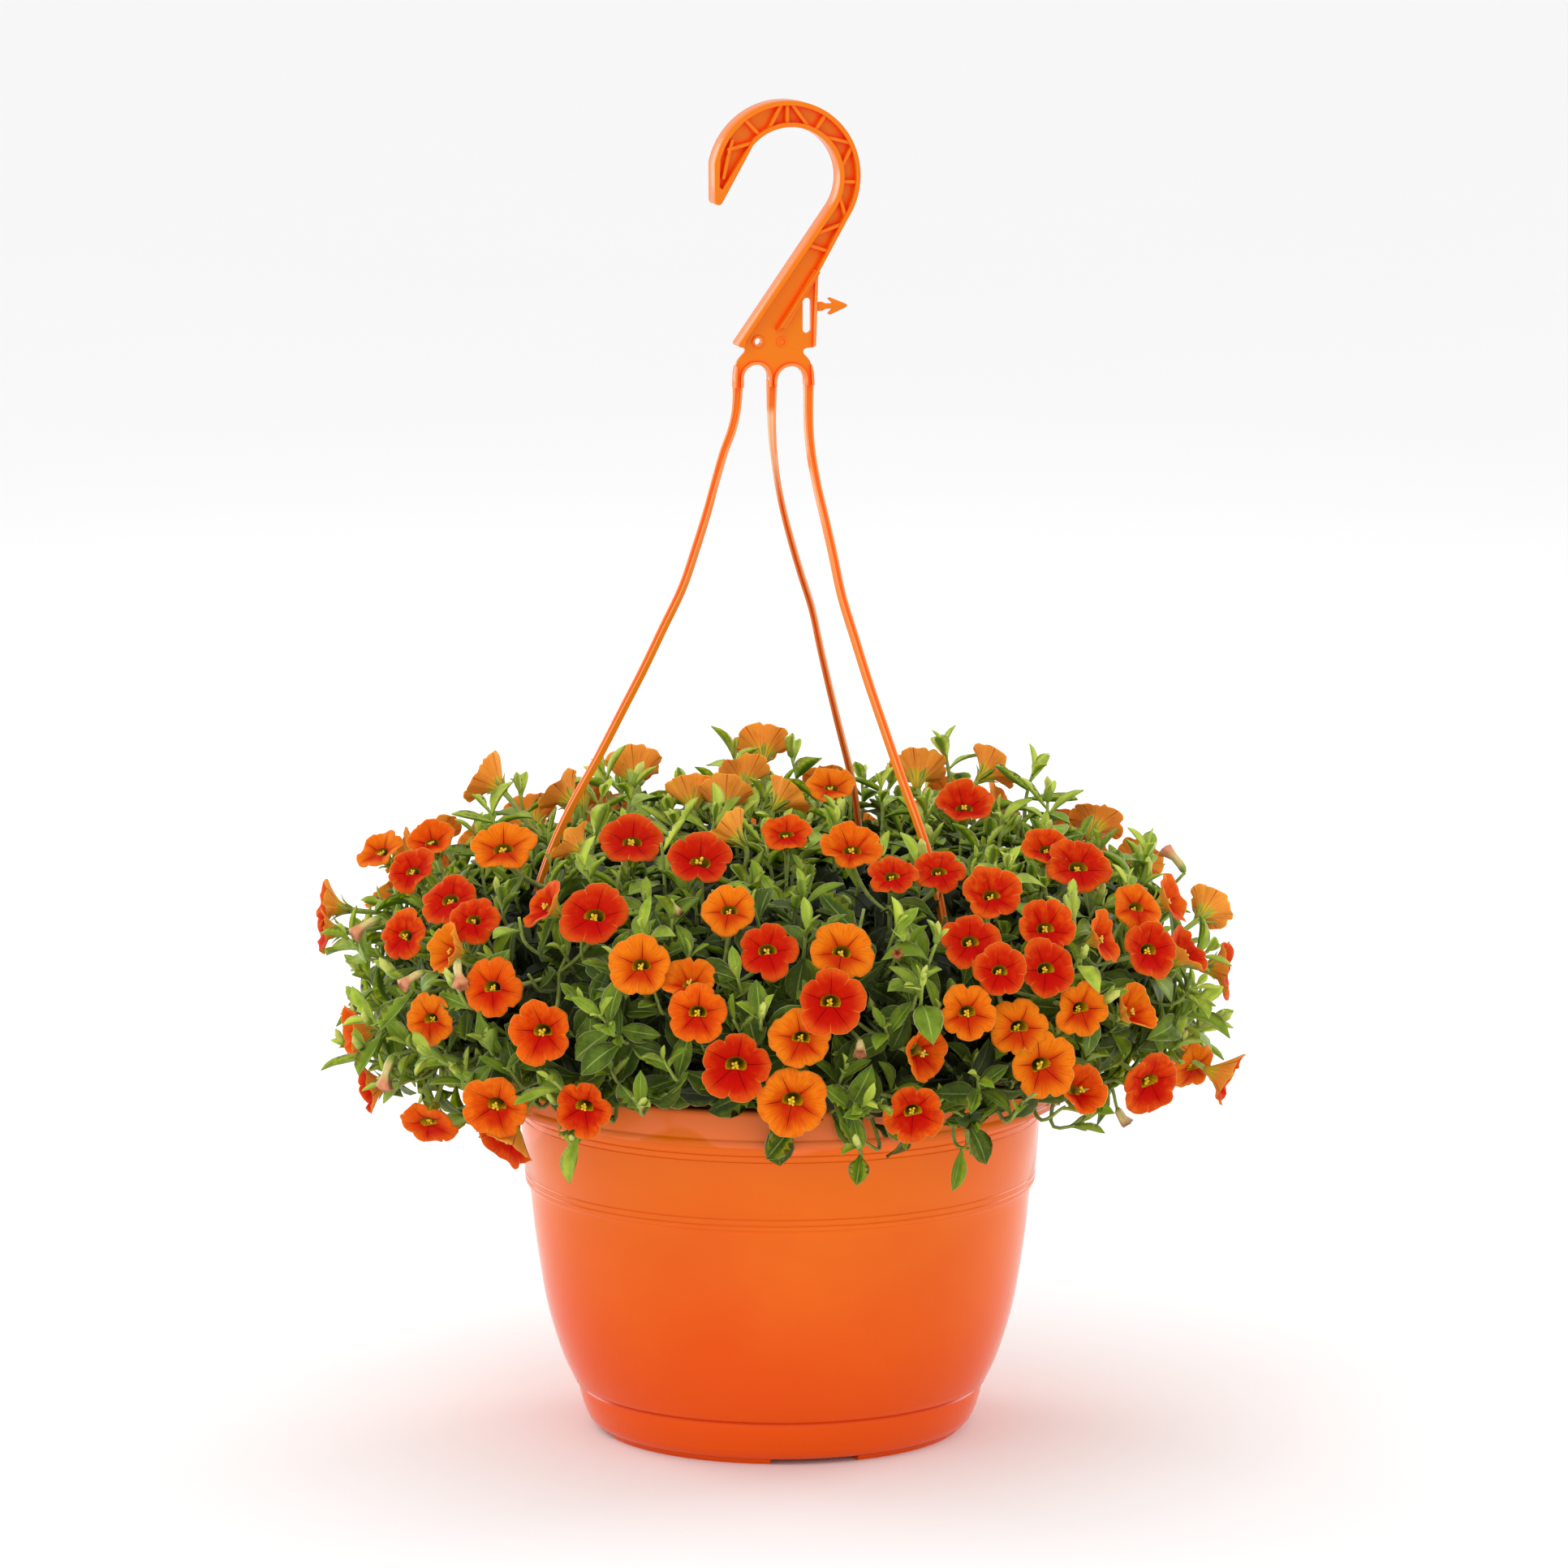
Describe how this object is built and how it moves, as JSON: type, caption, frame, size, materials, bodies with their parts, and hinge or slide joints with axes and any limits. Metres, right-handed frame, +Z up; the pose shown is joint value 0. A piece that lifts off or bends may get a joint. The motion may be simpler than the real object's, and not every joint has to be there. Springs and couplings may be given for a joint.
{
  "type": "calibrachoa",
  "caption": "Bushy calibrachoa in full bloom, a round crown of small trumpet flowers over a round hanging pot with a moulded plastic hanger and hook.",
  "frame": {"origin": "on the pot's axis, at the level of the surface that the pot's feet stand on", "axes": "+Z up along the pot's axis, -Y towards the front, +X to the front view's right"},
  "size_m": [0.4385, 0.4245, 0.6312],
  "materials": {
    "pot_plastic": "glossy moulded orange",
    "hanger_plastic": "satin moulded orange",
    "soil": "rough, crumbly",
    "foliage": "matt, finely hairy green",
    "petals": "soft matt orange"
  },
  "bodies": {
    "root": {"flowers_01": "petals", "flowers_02": "petals", "flowers_03": "petals", "flowers_04": "petals", "flowers_05": "petals", "flowers_06": "petals", "flowers_07": "petals", "flowers_08": "petals", "flowers_09": "petals", "flowers_10": "petals", "flowers_11": "petals", "flowers_12": "petals", "flowers_13": "petals", "flowers_14": "petals", "flowers_15": "petals", "flowers_16": "petals", "flowers_17": "petals", "flowers_18": "petals", "flowers_19": "petals", "flowers_20": "petals", "flowers_21": "petals", "flowers_22": "petals", "flowers_23": "petals", "flowers_24": "petals", "flowers_25": "petals", "flowers_26": "petals", "flowers_27": "petals", "flowers_28": "petals", "flowers_29": "petals", "flowers_30": "petals", "flowers_31": "petals", "flowers_32": "petals", "flowers_33": "petals", "flowers_34": "petals", "flowers_35": "petals", "flowers_36": "petals", "flowers_37": "petals", "flowers_38": "petals", "flowers_39": "petals", "flowers_40": "petals", "flowers_41": "petals", "flowers_42": "petals", "hanger": "hanger_plastic", "plant_1": "foliage", "plant_2": "foliage", "plant_3": "foliage", "pot": "pot_plastic", "potting_soil": "soil"}
  },
  "joints": []
}
